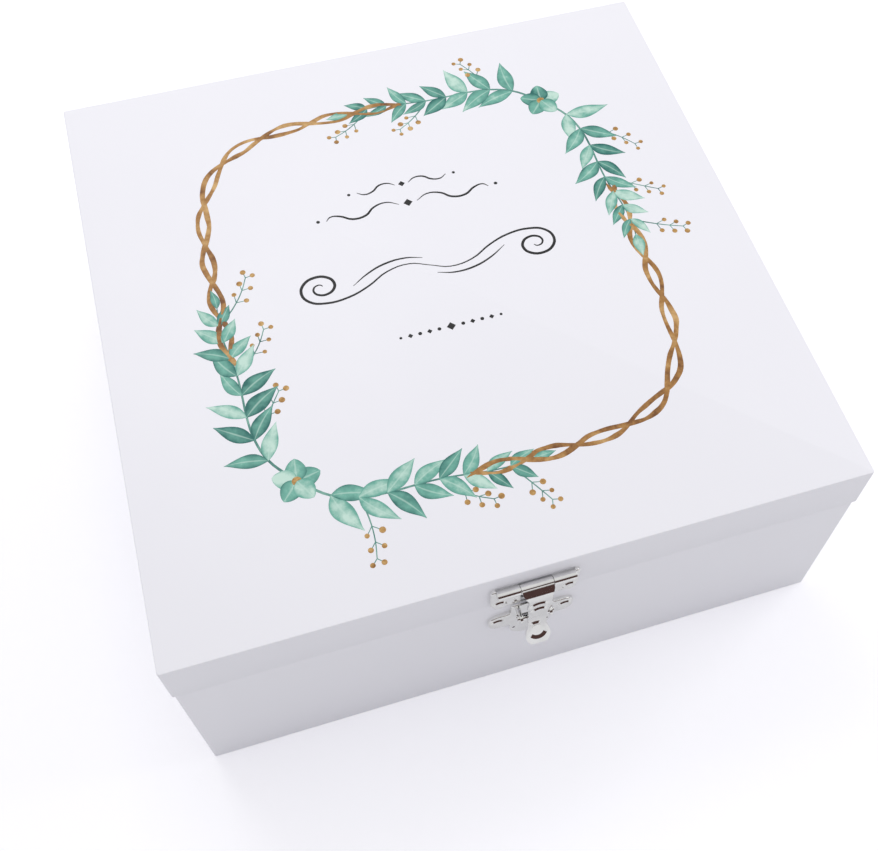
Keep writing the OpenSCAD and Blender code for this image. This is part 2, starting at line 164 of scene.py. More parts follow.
def combine(piece, tool, how):
    """Adds the tool's solid to the piece, cuts it away, or keeps what they share."""
    work_on(piece)
    change = piece.modifiers.new("combine", "BOOLEAN")
    change.operation = how
    change.solver = "EXACT"
    change.object = tool
    bpy.ops.object.modifier_apply(modifier=change.name)
    bpy.data.objects.remove(tool, do_unlink=True)


def copy_of(piece, name):
    """A copy of the piece with its own mesh."""
    start_clean()
    twin = bpy.data.objects.new(name, piece.data.copy())
    bpy.context.collection.objects.link(twin)
    return twin


def quarter_turned(piece, name, turns):
    """A copy of the piece, turned by quarter turns about the box's upright middle line."""
    twin = copy_of(piece, name)
    twin.rotation_euler = (0, 0, math.radians(90 * turns))
    settle(twin)
    return twin


def smooth(piece, angle=30):
    """Soft shading, with the edges sharper than the angle kept."""
    work_on(piece)
    bpy.ops.object.shade_smooth_by_angle(angle=math.radians(angle))


def soften(piece, width, angle, steps):
    """A small bevel on every edge sharper than the angle."""
    work_on(piece)
    change = piece.modifiers.new("soften", "BEVEL")
    change.width = width
    change.segments = steps
    change.limit_method = "ANGLE"
    change.angle_limit = math.radians(angle)
    bpy.ops.object.modifier_apply(modifier=change.name)


def tidy_mesh(piece):
    """Merges doubles and turns all faces outward."""
    edit(piece)
    bpy.ops.mesh.select_all(action="SELECT")
    bpy.ops.mesh.remove_doubles(threshold=0.001 * mm)
    bpy.ops.mesh.normals_make_consistent(inside=False)
    bpy.ops.object.mode_set(mode="OBJECT")


def merge_flats(piece):
    """Joins faces that lie in one plane."""
    tidy_mesh(piece)
    edit(piece)
    bpy.ops.mesh.select_all(action="SELECT")
    bpy.ops.mesh.dissolve_limited(angle_limit=math.radians(0.5))
    bpy.ops.object.mode_set(mode="OBJECT")


def finish(piece, body, material, slot, *nodes):
    """Gives the piece its material and body, and hides the CAD nodes it stands for."""
    piece.data.materials.clear()
    piece.data.materials.append(material)
    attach(piece, body)
    if nodes:
        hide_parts(*nodes)


# ---------- materials ----------

class Nodes:
    """A node tree, with short calls for adding and joining nodes."""

    def __init__(self, tree):
        self.tree = tree

    def node(self, kind, **settings):
        made = self.tree.nodes.new(kind)
        for name, value in settings.items():
            setattr(made, name, value)
        return made

    def join(self, source, target):
        self.tree.links.new(source, target)

    def put(self, value, socket):
        """Fills a socket with a colour, a number or what another socket gives."""
        if isinstance(value, tuple):
            socket.default_value = (*value, 1)
        elif isinstance(value, (int, float)):
            socket.default_value = value
        else:
            self.join(value, socket)

    def noise(self, where, scale, detail, roughness=0.5):
        made = self.node("ShaderNodeTexNoise")
        made.inputs["Scale"].default_value = scale
        made.inputs["Detail"].default_value = detail
        made.inputs["Roughness"].default_value = roughness
        self.join(where, made.inputs["Vector"])
        return made.outputs["Fac"]

    def shades(self, amount, stops):
        """A colour ramp; stops are (position, colour)."""
        ramp = self.node("ShaderNodeValToRGB")
        elements = ramp.color_ramp.elements
        while len(elements) < len(stops):
            elements.new(0.5)
        for element, (position, colour) in zip(elements, stops):
            element.position = position
            element.color = (*colour, 1)
        self.join(amount, ramp.inputs["Fac"])
        return ramp.outputs["Color"]

    def span(self, amount, low, high):
        """Spreads a 0 to 1 value between low and high."""
        made = self.node("ShaderNodeMapRange")
        made.inputs["To Min"].default_value = low
        made.inputs["To Max"].default_value = high
        self.join(amount, made.inputs["Value"])
        return made.outputs["Result"]

    def sums(self, how, a, b=None, c=None):
        """One arithmetic step; a, b and c are sockets or numbers."""
        made = self.node("ShaderNodeMath", operation=how)
        for socket, value in zip(made.inputs, (a, b, c)):
            if value is not None:
                self.put(value, socket)
        return made.outputs["Value"]

    def mix(self, amount, first, second):
        """Mixes two colours; each is a socket or an RGB triple."""
        made = self.node("ShaderNodeMix", data_type="RGBA")
        self.put(amount, made.inputs[0])
        self.put(first, made.inputs[6])
        self.put(second, made.inputs[7])
        return made.outputs[2]

    def bump(self, height, distance, strength, under=None):
        made = self.node("ShaderNodeBump")
        made.inputs["Strength"].default_value = strength
        made.inputs["Distance"].default_value = distance
        self.join(height, made.inputs["Height"])
        if under:
            self.join(under, made.inputs["Normal"])
        return made.outputs["Normal"]


class Recipe(Nodes):
    """A material and its nodes."""

    def __init__(self, name):
        self.material = bpy.data.materials.new(name)
        self.material.use_nodes = True
        super().__init__(self.material.node_tree)
        self.shader = self.tree.nodes["Principled BSDF"]

    def place(self):
        """Object coordinates, which are the box's own."""
        return self.node("ShaderNodeTexCoord").outputs["Object"]


def satin_paint(name, light, dark):
    """Sprayed and rolled satin paint: faint clouding, fine nap."""
    paint = Recipe(name)
    place = paint.place()
    cloud = paint.noise(place, 9, 3)
    paint.join(paint.shades(cloud, [(0.3, dark), (0.7, light)]), paint.shader.inputs["Base Color"])
    sheen = paint.noise(place, 60, 2)
    paint.join(paint.span(sheen, 0.42, 0.54), paint.shader.inputs["Roughness"])
    nap = paint.bump(paint.noise(place, 1400, 3), 0.02 * mm, 0.35)
    sag = paint.bump(paint.noise(place, 130, 1), 0.06 * mm, 0.3, nap)
    paint.join(sag, paint.shader.inputs["Normal"])
    return paint.material


def bright_plating(name):
    """Bright nickel plate over pressed sheet, a little wavy."""
    plate = Recipe(name)
    place = plate.place()
    plate.shader.inputs["Metallic"].default_value = 1
    bloom = plate.noise(place, 220, 3)
    tones = [(0.3, (0.80, 0.80, 0.785)), (0.7, (0.88, 0.875, 0.865))]
    plate.join(plate.shades(bloom, tones), plate.shader.inputs["Base Color"])
    plate.join(plate.span(plate.noise(place, 700, 2), 0.05, 0.14), plate.shader.inputs["Roughness"])
    wave = plate.bump(plate.noise(place, 330, 1), 0.05 * mm, 0.5)
    pits = plate.bump(plate.noise(place, 2600, 2), 0.006 * mm, 0.3, wave)
    plate.join(pits, plate.shader.inputs["Normal"])
    return plate.material


def drawn_steel(name, tone, low_rough, high_rough):
    """Plated steel with fine lines along its length."""
    steel = Recipe(name)
    mapping = steel.node("ShaderNodeMapping")
    mapping.inputs["Scale"].default_value = (1, 14, 14)
    steel.join(steel.place(), mapping.inputs["Vector"])
    lines = steel.noise(mapping.outputs["Vector"], 240, 3)
    steel.shader.inputs["Metallic"].default_value = 1
    dark = tuple(0.86 * part for part in tone)
    steel.join(steel.shades(lines, [(0.35, dark), (0.65, tone)]), steel.shader.inputs["Base Color"])
    steel.join(steel.span(lines, low_rough, high_rough), steel.shader.inputs["Roughness"])
    steel.join(steel.bump(lines, 0.01 * mm, 0.4), steel.shader.inputs["Normal"])
    return steel.material


def shades_of(*colours):
    """Colours given as they look on a screen, turned to the renderer's even scale."""
    return [tuple((part / 255) ** 2.2 for part in colour) for colour in colours]


def leaf_wash(name, pale, middle, deep):
    """Watercolour: paler along the midrib, pooled darker at the edges, clouded."""
    pale, middle, deep = shades_of(pale, middle, deep)
    wash = Recipe(name)
    where = wash.place()
    split = wash.node("ShaderNodeSeparateXYZ")
    wash.join(wash.node("ShaderNodeUVMap", uv_map="UVMap").outputs["UV"], split.inputs[0])
    across = wash.sums("ABSOLUTE", wash.sums("MULTIPLY_ADD", split.outputs["Y"], 2, -1))
    edge = wash.sums("POWER", across, 3)
    own = wash.node("ShaderNodeAttribute", attribute_name="shade").outputs["Fac"]
    depth = wash.sums("MULTIPLY_ADD", wash.noise(where, 190, 4, 0.6), 0.8, -0.24)
    depth = wash.sums("MULTIPLY_ADD", own, 0.55, depth)
    depth = wash.sums("MULTIPLY_ADD", edge, 0.3, depth)
    depth = wash.sums("MULTIPLY_ADD", split.outputs["X"], -0.12, depth)
    colour = wash.shades(depth, [(0.12, pale), (0.42, middle), (0.85, deep)])
    rib = wash.shades(across, [(0.05, (1, 1, 1)), (0.14, (0, 0, 0))])
    colour = wash.mix(wash.sums("MULTIPLY", rib, 0.45), colour, pale)
    wash.join(colour, wash.shader.inputs["Base Color"])
    wash.shader.inputs["Roughness"].default_value = 0.5
    wash.shader.inputs["Specular IOR Level"].default_value = 0.4
    return wash.material


def brush_wash(name, pale, middle, deep, scale):
    """Paint from a small brush, clouded; a higher scale gives smaller clouds."""
    pale, middle, deep = shades_of(pale, middle, deep)
    wash = Recipe(name)
    cloud = wash.noise(wash.place(), scale, 4, 0.65)
    colour = wash.shades(cloud, [(0.32, deep), (0.5, middle), (0.68, pale)])
    wash.join(colour, wash.shader.inputs["Base Color"])
    wash.shader.inputs["Roughness"].default_value = 0.5
    wash.shader.inputs["Specular IOR Level"].default_value = 0.4
    return wash.material


# ---------- painted wood ----------

def open_ring(name, side, low, high):
    """A square ring of boards, before its mitres are cut."""
    half = side / 2
    ring = block(name, (-half, -half, low), (half, half, high))
    edit(ring)
    pick_faces(ring, lambda centre, normal: abs(normal.z) > 0.9)
    bpy.ops.mesh.inset(thickness=BOARD)
    bpy.ops.mesh.bridge_edge_loops()
    pick_edges(ring, lambda a, b: near(abs(a.x), half) and near(abs(a.y), half) and a.z != b.z
               and near(a.x, b.x) and near(a.y, b.y))
    round_off(CORNER, 6)
    bpy.ops.object.mode_set(mode="OBJECT")
    return ring


def ease_rims(ring, side, level, radius, inner=True):
    """Softens the ring's outer and inner rims at one height."""
    outside = side / 2 - 0.5 * mm
    inside = side / 2 - BOARD + 0.5 * mm

    def reach(point):
        return max(abs(point.x), abs(point.y))

    def on_rim(a, b):
        level_edge = near(a.z, level) and near(b.z, level)
        outer_edge = reach(a) > outside and reach(b) > outside
        inner_edge = inner and reach(a) < inside and reach(b) < inside
        return level_edge and (outer_edge or inner_edge)

    edit(ring)
    pick_edges(ring, on_rim)
    round_off(radius, 3)
    bpy.ops.object.mode_set(mode="OBJECT")


def cut_mitres(ring, name):
    """Keeps the front board of the ring, which is what a cube turned by 45 degrees shares with it."""
    side = 300 * mm
    start_clean()
    bpy.ops.mesh.primitive_cube_add(
        size=1, location=(0, -side * math.sqrt(0.5), 50 * mm), rotation=(0, 0, math.radians(45)),
        scale=(side, side, side))
    quarter = bpy.context.object
    settle(quarter)
    combine(ring, quarter, "INTERSECT")
    ring.name = name
    tidy_mesh(ring)
    return ring


def cut_mortises(board, sign):
    """Cuts the room for both hinge leaves into the edge at the seam; sign -1 is down, 1 up."""
    inside = TRAY_SIDE / 2 - MORTISE_IN
    outside = LID_SIDE / 2 + mm
    foot, top = sorted((SEAM + sign * MORTISE_H, SEAM - sign * mm))
    for x in (-HINGE_X, HINGE_X):
        low = (x - MORTISE_W / 2, inside, foot)
        high = (x + MORTISE_W / 2, outside, top)
        combine(board, block("room", low, high), "DIFFERENCE")


def all_round(front, *names):
    """The front board with its copies for the right, the back and the left."""
    return [front] + [quarter_turned(front, name, turns) for turns, name in enumerate(names, 1)]


def tray_walls(paint):
    """The four mitred walls of the tray."""
    ring = open_ring("tray", TRAY_SIDE, 0, SEAM)
    ease_rims(ring, TRAY_SIDE, SEAM, SEAM_EASE)
    ease_rims(ring, TRAY_SIDE, 0, 0.5 * mm, inner=False)
    front = cut_mitres(ring, "front_wall_painted")
    room = PANEL_ROOM / 2
    past = room + 3 * mm
    combine(front, block("room", (-past, -room, -mm), (past, -room / 2, PANEL)), "DIFFERENCE")
    walls = all_round(front, "right_wall_painted", "back_wall_painted", "left_wall_painted")
    cut_mortises(walls[2], -1)
    for wall, node in zip(walls, ("front_wall", "right_wall", "back_wall", "left_wall")):
        smooth(wall)
        finish(wall, "base", paint, "base_paint", node)


def lid_rails(paint):
    """The four mitred rails under the lid's top panel."""
    ring = open_ring("rails", LID_SIDE, SEAM, RAIL_TOP)
    ease_rims(ring, LID_SIDE, SEAM, SEAM_EASE)
    front = cut_mitres(ring, "lid_front_rail_painted")
    rails = all_round(front, "lid_right_rail_painted", "lid_back_rail_painted", "lid_left_rail_painted")
    cut_mortises(rails[2], 1)
    for rail, node in zip(rails, ("lid_front_rail", "lid_right_rail", "lid_back_rail", "lid_left_rail")):
        smooth(rail)
        finish(rail, "lid", paint, "lid_paint", node)


def lid_panel(paint):
    """The lid's top panel, its upper edge eased a little."""
    half = LID_SIDE / 2
    panel = block("lid_top_painted", (-half, -half, RAIL_TOP), (half, half, PAINT_TOP))
    edit(panel)
    pick_edges(panel, lambda a, b: not near(a.z, b.z))
    round_off(CORNER, 6)
    pick_edges(panel, lambda a, b: near(a.z, PAINT_TOP) and near(b.z, PAINT_TOP))
    round_off(0.35 * mm, 4)
    bpy.ops.object.mode_set(mode="OBJECT")
    smooth(panel)
    finish(panel, "lid", paint, "lid_paint", "lid_top")


def bottom_board(paint):
    """The bottom panel, let in flush with the feet of the walls."""
    half = PANEL_SIDE / 2
    panel = block("bottom_panel_painted", (-half, -half, 0), (half, half, PANEL))
    edit(panel)
    pick_edges(panel, lambda a, b: True)
    round_off(0.3 * mm, 2)
    bpy.ops.object.mode_set(mode="OBJECT")
    smooth(panel)
    finish(panel, "base", paint, "bottom_paint", "bottom_panel")


# ---------- hinges, screws, pins and nails ----------

def eased_copy(node, ease):
    """A merged copy of a CAD node, with its sharp edges eased."""
    piece = copy_of(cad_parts[node], node + "_eased")
    merge_flats(piece)
    soften(piece, ease, 40, 2)
    smooth(piece, 35)
    return piece


def hinges(leaf_steel, pin_steel):
    """Both hinges, with their pins and screws."""
    for side in ("left", "right"):
        for part, body in (("base_leaf", "base"), ("lid_leaf", "lid")):
            node = f"{side}_hinge_{part}"
            finish(eased_copy(node, 0.12 * mm), body, leaf_steel, "hinge_steel", node)
        node = f"{side}_hinge_pin"
        finish(eased_copy(node, 0.2 * mm), "base", pin_steel, "pin_steel", node)
    for node, body in (("base_hinge_screws", "base"), ("lid_hinge_screws", "lid")):
        finish(eased_copy(node, SMALL_EASE), body, pin_steel, "pin_steel", node)


# ---------- clasp ----------

def upright_plate(name, width, low, high, back, low_round, high_round):
    """A plate against the front, with round corners; back is the y of its back face."""
    half = width / 2
    plate = block(name, (-half, back - PLATE_T, low), (half, back, high))
    edit(plate)
    for level, radius in ((low, low_round), (high, high_round)):
        pick_edges(plate, lambda a, b: near(a.z, level) and near(b.z, level)
                   and near(abs(a.x), half) and near(a.x, b.x))
        round_off(radius, 10)
    bpy.ops.object.mode_set(mode="OBJECT")
    return plate


def pillow_edge(plate, front, radius):
    """Rounds the edge of the plate's front face, as pressing leaves it."""
    edit(plate)
    pick_faces(plate, lambda centre, normal: normal.y < -0.9 and abs(centre.y - front) < 0.02 * mm)
    bpy.ops.mesh.region_to_loop()
    round_off(radius, 4)
    bpy.ops.object.mode_set(mode="OBJECT")


def raised_step(piece, x, front, z, radius, height, stretch=1):
    """Raises a round or oval step on the piece, its side sloping; front is the y of its face."""
    start_clean()
    depth = 1.3 * mm
    bpy.ops.mesh.primitive_cylinder_add(
        vertices=56, radius=radius + height, depth=depth,
        location=(x, front + depth / 2, z), rotation=(math.radians(90), 0, 0))
    step = bpy.context.object
    settle(step)
    edit(step)
    pick_faces(step, lambda centre, normal: normal.y < -0.9)
    bpy.ops.mesh.region_to_loop()
    round_off(height, 1)
    if stretch != 1:
        bpy.ops.mesh.select_all(action="SELECT")
        bpy.ops.transform.resize(value=(stretch, 1, 1), center_override=(x, front, z))
    bpy.ops.object.mode_set(mode="OBJECT")
    combine(piece, step, "UNION")


def knuckle(middle, length):
    """A rolled knuckle about the clasp's pin."""
    start_clean()
    bpy.ops.mesh.primitive_cylinder_add(
        vertices=56, radius=KNUCKLE_R, depth=length,
        location=(middle, PIN_Y, PIN_Z), rotation=(0, math.radians(90), 0))
    roll = bpy.context.object
    settle(roll)
    edit(roll)
    pick_faces(roll, lambda centre, normal: abs(normal.x) > 0.9)
    bpy.ops.mesh.inset(thickness=KNUCKLE_R - BORE_R)
    bpy.ops.mesh.bridge_edge_loops()

    def from_pin(point):
        return math.hypot(point.y - PIN_Y, point.z - PIN_Z)

    pick_edges(roll, lambda a, b: near(a.x, b.x) and near(from_pin(a), KNUCKLE_R)
               and near(from_pin(b), KNUCKLE_R))
    round_off(0.12 * mm, 3)
    bpy.ops.object.mode_set(mode="OBJECT")
    return roll


def hasp_plate(plating):
    """The lid's plate, rolled over the pin at both sides of the tongue."""
    back = -LID_SIDE / 2
    front = back - PLATE_T
    foot, top = 85.3 * mm, 100.9 * mm
    tongue_room, knuckle_room = (6.4 * mm, 97.4 * mm), (15.3 * mm, 99.9 * mm)
    knuckle_x, knuckle_w = 10.8 * mm, 8.8 * mm
    nail_z, ring_r = 88.4 * mm, 2.4 * mm
    plate = upright_plate("hasp_plate_pressed", CLASP_W, foot, top, back, 4.5 * mm, 1.6 * mm)
    pillow_edge(plate, front, 0.6 * mm)
    for half, level in (tongue_room, knuckle_room):
        room = block("room", (-half, front - mm, level), (half, back + mm, top + 2.1 * mm))
        combine(plate, room, "DIFFERENCE")
    for x in (-knuckle_x, knuckle_x):
        combine(plate, knuckle(x, knuckle_w), "UNION")
    for x in (-NAIL_X, NAIL_X):
        raised_step(plate, x, front - RING_PROUD, nail_z, ring_r, RING_SLOPE)
    tidy_mesh(plate)
    smooth(plate, 32)
    finish(plate, "lid", plating, "clasp_plating", "hasp_plate")


def small_hole(x, y, z):
    """The tool for one of the two small spare holes of the catch plate."""
    start_clean()
    bpy.ops.mesh.primitive_cylinder_add(
        vertices=28, radius=0.6 * mm, depth=3 * mm, location=(x, y, z), rotation=(math.radians(90), 0, 0))
    drill = bpy.context.object
    settle(drill)
    return drill


def catch_ear(middle, front, bar_y, bar_z):
    """One of the two ears that hold the catch bar, its outer end round."""
    half = 0.65 * mm
    end = bar_y - EAR_REACH
    low = (middle - half, end, bar_z - EAR_REACH)
    high = (middle + half, front + mm, bar_z + EAR_REACH)
    ear = block("ear", low, high)
    edit(ear)
    pick_edges(ear, lambda a, b: near(a.y, end) and near(b.y, end) and near(a.z, b.z))
    round_off(0.98 * EAR_REACH, 10)
    pick_faces(ear, lambda centre, normal: abs(normal.x) > 0.9)
    bpy.ops.mesh.region_to_loop()
    round_off(0.25 * mm, 3)
    bpy.ops.object.mode_set(mode="OBJECT")
    return ear


def catch_bar(bar_y, bar_z):
    """The bar that the tongue hangs in front of, its ends riveted over and hollow."""
    start_clean()
    bpy.ops.mesh.primitive_cylinder_add(
        vertices=40, radius=BAR_R, depth=BAR_W,
        location=(0, bar_y, bar_z), rotation=(0, math.radians(90), 0))
    bar = bpy.context.object
    settle(bar)
    edit(bar)
    pick_faces(bar, lambda centre, normal: abs(normal.x) > 0.9)
    bpy.ops.mesh.inset(thickness=0.5 * mm)
    bpy.ops.mesh.inset(thickness=0.15 * mm, depth=-0.5 * mm)

    def on_rim(point):
        from_middle = math.hypot(point.y - bar_y, point.z - bar_z)
        return near(abs(point.x), BAR_W / 2) and near(from_middle, BAR_R)

    pick_edges(bar, lambda a, b: on_rim(a) and on_rim(b) and near(a.x, b.x))
    round_off(0.18 * mm, 2)
    bpy.ops.object.mode_set(mode="OBJECT")
    return bar


def cross_plate(name, wing, middle, back):
    """A flat plate like a cross; wing and middle are (half width, foot, top)."""
    half, low, high = middle
    tip, foot, top = wing
    plate = block(name, (-half, back - PLATE_T, foot), (half, back, top))
    edit(plate)
    pulls = (
        (Vector((1, 0, 0)), tip - half), (Vector((-1, 0, 0)), tip - half),
        (Vector((0, 0, 1)), high - top), (Vector((0, 0, -1)), foot - low),
    )
    for way, length in pulls:
        pick_faces(plate, lambda centre, normal: normal.dot(way) > 0.9
                   and near(centre.z if way.x else centre.x, (foot + top) / 2 if way.x else 0))
        bpy.ops.mesh.extrude_region_move(TRANSFORM_OT_translate={"value": way * length})
    bpy.ops.object.mode_set(mode="OBJECT")
    merge_flats(plate)
    return plate


def round_corners(plate, half, levels, radius, steps):
    """Rounds the plate's corners that stand at this half width and at one of the levels."""
    edit(plate)
    pick_edges(plate, lambda a, b: near(abs(a.x), half) and near(a.x, b.x) and near(a.z, b.z)
               and any(near(a.z, level) for level in levels))
    round_off(radius, steps)
    bpy.ops.object.mode_set(mode="OBJECT")


def catch_plate(plating):
    """The tray's plate: two wings, a long middle, and the bar between its ears."""
    back = -TRAY_SIDE / 2
    front = back - PLATE_T
    bar_y, bar_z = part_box("catch_plate")[0].y + EAR_REACH, 76 * mm
    tip, half = CLASP_W / 2, 8.5 * mm
    foot, low, high, top = 49.6 * mm, 61.4 * mm, 72.6 * mm, 80.4 * mm
    nail_z, ring_r = 67 * mm, 2.8 * mm
    hole_x, hole_z = 6.8 * mm, 57.7 * mm
    ear_x = 5.85 * mm
    plate = cross_plate("catch_plate_pressed", (tip, low, high), (half, foot, top), back)
    round_corners(plate, tip, (low, high), 4.6 * mm, 10)
    round_corners(plate, half, (low, high), 1.2 * mm, 4)
    round_corners(plate, half, (foot,), 7.9 * mm, 14)
    round_corners(plate, half, (top,), 1.5 * mm, 5)
    pillow_edge(plate, front, 0.5 * mm)
    for x in (-NAIL_X, NAIL_X):
        raised_step(plate, x, front - RING_PROUD, nail_z, ring_r, RING_SLOPE)
    for x in (-hole_x, hole_x):
        combine(plate, small_hole(x, front, hole_z), "DIFFERENCE")
    bar = catch_bar(bar_y, bar_z)
    for x in (-ear_x, ear_x):
        combine(bar, catch_ear(x, front, bar_y, bar_z), "UNION")
    combine(plate, bar, "UNION")
    tidy_mesh(plate)
    smooth(plate, 32)
    finish(plate, "base", plating, "clasp_plating", "catch_plate")


def bent_sheet(name, line, width, thick):
    """A sheet bent along a side view; line is (out, drop) from the pin in millimetres."""
    start_clean()
    bpy.ops.curve.primitive_bezier_curve_add(
        location=(0, PIN_Y, PIN_Z), rotation=(math.radians(-90), 0, math.radians(-90)))
    bend = bpy.context.object
    bend.name = name
    bend.data.dimensions = "2D"
    bend.data.fill_mode = "NONE"
    bend.data.extrude = width / 2
    bend.data.resolution_u = 6
    spline = bend.data.splines[0]
    spline.bezier_points.add(len(line) - 2)
    for point, (out, drop) in zip(spline.bezier_points, line):
        point.co = (out * mm, drop * mm, 0)
        point.handle_left_type = "AUTO"
        point.handle_right_type = "AUTO"
    bpy.ops.object.convert(target="MESH")
    settle(bend)
    wall = bend.modifiers.new("wall", "SOLIDIFY")
    wall.thickness = thick
    wall.offset = 0
    wall.use_even_offset = True
    bpy.ops.object.modifier_apply(modifier=wall.name)
    tidy_mesh(bend)
    return bend


def front_outline(half_outline, reach):
    """A block with the front view given as its right half, (x, drop) in millimetres from the pin."""
    start_clean()
    bpy.ops.curve.primitive_bezier_curve_add(
        location=(0, PIN_Y, PIN_Z), rotation=(math.radians(90), 0, 0))
    drawn = bpy.context.object
    drawn.data.dimensions = "2D"
    drawn.data.fill_mode = "BOTH"
    drawn.data.extrude = reach
    drawn.data.resolution_u = 5
    outline = list(half_outline) + [(-x, drop) for x, drop in reversed(half_outline) if x > 0]
    spline = drawn.data.splines[0]
    spline.bezier_points.add(len(outline) - 2)
    spline.use_cyclic_u = True
    for point, (x, drop) in zip(spline.bezier_points, outline):
        point.co = (x * mm, -drop * mm, 0)
        kind = "VECTOR" if drop < 0.5 else "AUTO"
        point.handle_left_type = kind
        point.handle_right_type = kind
    bpy.ops.object.convert(target="MESH")
    settle(drawn)
    tidy_mesh(drawn)
    return drawn


def pressed_pan(tongue, out, drop, slope):
    """Presses a shallow round pan into the tip, square to its slope; out and drop in millimetres."""
    tilt = math.radians(slope)
    normal = Vector((0, -math.cos(tilt), math.sin(tilt)))
    floor, deep, proud = 2.5 * mm, 0.6 * mm, 0.8 * mm
    spread = 2.2
    middle = Vector((0, PIN_Y - out * mm, PIN_Z - drop * mm)) + normal * (proud - deep) / 2
    start_clean()
    bpy.ops.mesh.primitive_cone_add(
        vertices=96, radius1=floor, radius2=floor + (deep + proud) * spread, depth=deep + proud,
        location=middle, rotation=(math.pi / 2 - tilt, 0, 0))
    die = bpy.context.object
    settle(die)
    combine(tongue, die, "DIFFERENCE")


def clasp_tongue(plating):
    """The tongue: leans out under its knuckle, carries a stepped boss, and flares at its dished tip.

    side_view is the sheet's middle line as (out, drop) from the pin, right_half the outline as
    (x, drop), and steps the raised forms as (x, out, drop, radius, slope, stretch), all in millimetres.
    """
    side_view = (
        (0.75, -1.2), (1.35, -0.95), (2, -0.5), (2.7, 0.1), (3.3, 0.7), (3.7, 1.2),
        (4, 2), (4.2, 3.1), (4.28, 4.4), (4.3, 6.5), (4.28, 10), (4.2, 14), (4.12, 18), (4.12, 22),
        (4.45, 25), (4.8, 27.5), (5.4, 29.6), (6.4, 31.6), (7.35, 33.4), (8.2, 35), (8.9, 36.3),
    )
    right_half = (
        (6.1, -1.3), (6.05, -0.4), (5.3, 1), (4.45, 2.6), (4.2, 4.2), (4.35, 7), (4.6, 9.5),
        (4.35, 12.4), (3.9, 15.5), (3.75, 20), (3.65, 25), (3.75, 28), (4.5, 30.2),
        (4.9, 32.4), (4.35, 34.6), (2.6, 36.4), (0, 37),
    )
    steps = (
        (-0.2, 5.4, 9.2, 3.8, 0.65, 1),
        (-0.2, 6, 12, 3.2, 0.65, 1),
        (-0.7, 5.6, 25.7, 1, 0.75, 1.5),
    )
    sheet_w, sheet_t, outline_reach = 14 * mm, 1 * mm, 16 * mm
    edge, knuckle_w = 0.22 * mm, 12.5 * mm
    tongue = bent_sheet("clasp_tongue_pressed", side_view, sheet_w, sheet_t)
    combine(tongue, front_outline(right_half, outline_reach), "INTERSECT")
    soften(tongue, edge, 50, 5)
    for x, out, drop, radius, slope, stretch in steps:
        raised_step(
            tongue, x * mm, PIN_Y - out * mm, PIN_Z - drop * mm, radius * mm, slope * mm, stretch)
    pressed_pan(tongue, out=6.55, drop=30.8, slope=27)
    combine(tongue, knuckle(0, knuckle_w), "UNION")
    tidy_mesh(tongue)
    smooth(tongue, 22)
    finish(tongue, "tongue", plating, "clasp_plating", "clasp_tongue")


def clasp(plating):
    """The whole clasp, with its pin and nails."""
    hasp_plate(plating)
    catch_plate(plating)
    clasp_tongue(plating)
    for node, body in (("hasp_nails", "lid"), ("clasp_pin", "lid"), ("catch_nails", "base")):
        finish(eased_copy(node, SMALL_EASE), body, plating, "clasp_plating", node)


# ---------- print on the lid ----------

def one_toward(turn):
    """One unit in the lid's plane, along a heading in radians."""
    return Vector((math.cos(turn), math.sin(turn), 0))


def rim_point(angle, out=0):
    """A point on the print's rounded square outline, at an angle in degrees, moved outward."""
    turn = math.radians(angle)
    across, up = math.cos(turn), math.sin(turn)
    reach = (abs(across / RIM_X) ** 4 + abs(up / RIM_Y) ** 4) ** -0.25 + out
    return Vector((reach * across, PRINT_Y + reach * up, 0))


def stroke(points, widths, lift=0):
    """A painted line through the points, its width changing along it, just proud of the paint."""
    start_clean()
    bpy.ops.curve.primitive_bezier_curve_add(location=(0, 0, 0))
    line = bpy.context.object
    line.data.bevel_depth = mm
    line.data.bevel_resolution = 1
    line.data.use_fill_caps = True
    line.data.resolution_u = 4
    spline = line.data.splines[0]
    spline.bezier_points.add(len(points) - 2)
    for point, place, width in zip(spline.bezier_points, points, widths):
        point.co = (place[0], place[1], 0)
        point.radius = width / 2 / mm
        point.handle_left_type = "AUTO"
        point.handle_right_type = "AUTO"
    bpy.ops.object.convert(target="MESH")
    tidy_mesh(line)
    line.scale = (1, 1, INK_FLAT)
    line.location = (0, 0, INK_MID + lift)
    settle(line)
    return line


def tapered(count, thick, thin):
    """Widths for a stroke that is thick in its middle and thin at both ends."""
    return [thin + (thick - thin) * math.sin(math.pi * step / (count - 1)) for step in range(count)]


def join(pieces, name):
    """Makes one piece of several."""
    start_clean()
    for piece in pieces:
        piece.select_set(True)
    bpy.context.view_layer.objects.active = pieces[0]
    bpy.ops.object.join()
    pieces[0].name = name
    pieces[0].data.name = name
    return pieces[0]


def leaf(name, point, droop):
    """A leaf one unit long along x, drawn in column by column; a low point value makes it rounder."""
    columns = 14
    start_clean()
    bpy.ops.mesh.primitive_grid_add(x_subdivisions=columns, y_subdivisions=6, size=1, location=(0.5, 0, 0))
    blade = bpy.context.object
    blade.name = name
    settle(blade)
    edit(blade)
    bpy.ops.mesh.select_mode(type="VERT")
    for step in range(columns + 1):
        along = step / columns
        wide = max(0.02, math.sin(math.pi * along ** 0.8) ** point)
        bpy.ops.mesh.select_all(action="DESELECT")
        sheet = bmesh.from_edit_mesh(blade.data)
        for vert in sheet.verts:
            vert.select_set(abs(vert.co.x - along) < 0.01)
        bmesh.update_edit_mesh(blade.data)
        bpy.ops.transform.resize(value=(1, wide, 1), center_override=(along, 0, 0))
        bpy.ops.transform.translate(value=(0, droop * along * along, 0))
    bpy.ops.object.mode_set(mode="OBJECT")
    return blade


